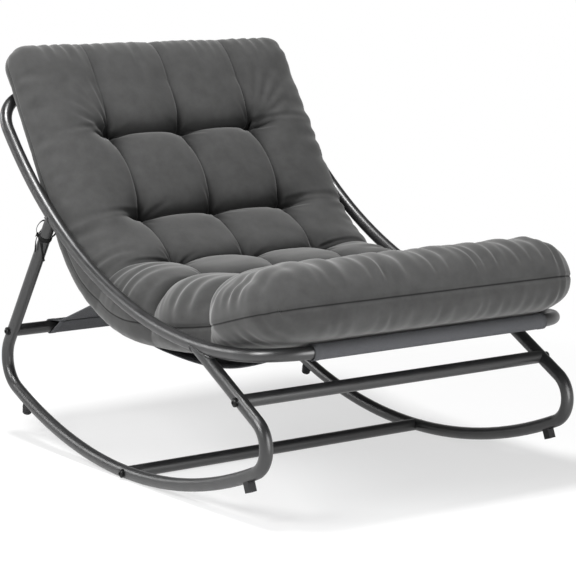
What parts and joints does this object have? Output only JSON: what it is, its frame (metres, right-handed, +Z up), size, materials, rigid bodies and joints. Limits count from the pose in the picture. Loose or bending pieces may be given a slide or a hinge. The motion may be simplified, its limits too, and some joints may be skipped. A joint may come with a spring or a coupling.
{
  "type": "papasan rocking chair",
  "caption": "Low rocking lounge chair: a bent round-tube frame on curved rockers carries a fabric sling and a thick tufted cushion that rolls over the front edge and runs up the back",
  "frame": {"origin": "on the floor, below the middle of the chair's overall length and width", "axes": "+Z up, the chair faces -Y, +X is the right side when the chair is seen from the front"},
  "size_m": [0.76, 1.0389, 0.807],
  "materials": {
    "frame_coat": "satin charcoal powder coat",
    "fastener": "black oxide",
    "plug_steel": "bare turned steel",
    "stop_rubber": "matt",
    "sling_weave": "fine charcoal weave",
    "cushion_cloth": "brushed dark grey pile",
    "tie_tape": "black tape"
  },
  "bodies": {
    "root": {"left_rocker": "frame_coat", "right_rocker": "frame_coat", "left_side_rail": "frame_coat", "right_side_rail": "frame_coat", "front_tube": "frame_coat", "top_tube": "frame_coat", "rear_cross_bar": "frame_coat", "front_cross_bar": "frame_coat", "lower_cross_bar": "frame_coat", "bar_bolts": "fastener", "saddle_washers": "fastener", "stop_screws": "fastener", "threaded_plugs": "plug_steel", "left_front_stop": "stop_rubber", "right_front_stop": "stop_rubber", "left_rear_stop": "stop_rubber", "right_rear_stop": "stop_rubber", "sling": "sling_weave", "sling_anchor": "sling_weave", "cushion": "cushion_cloth", "left_cushion_tie": "tie_tape", "right_cushion_tie": "tie_tape"}
  },
  "joints": []
}
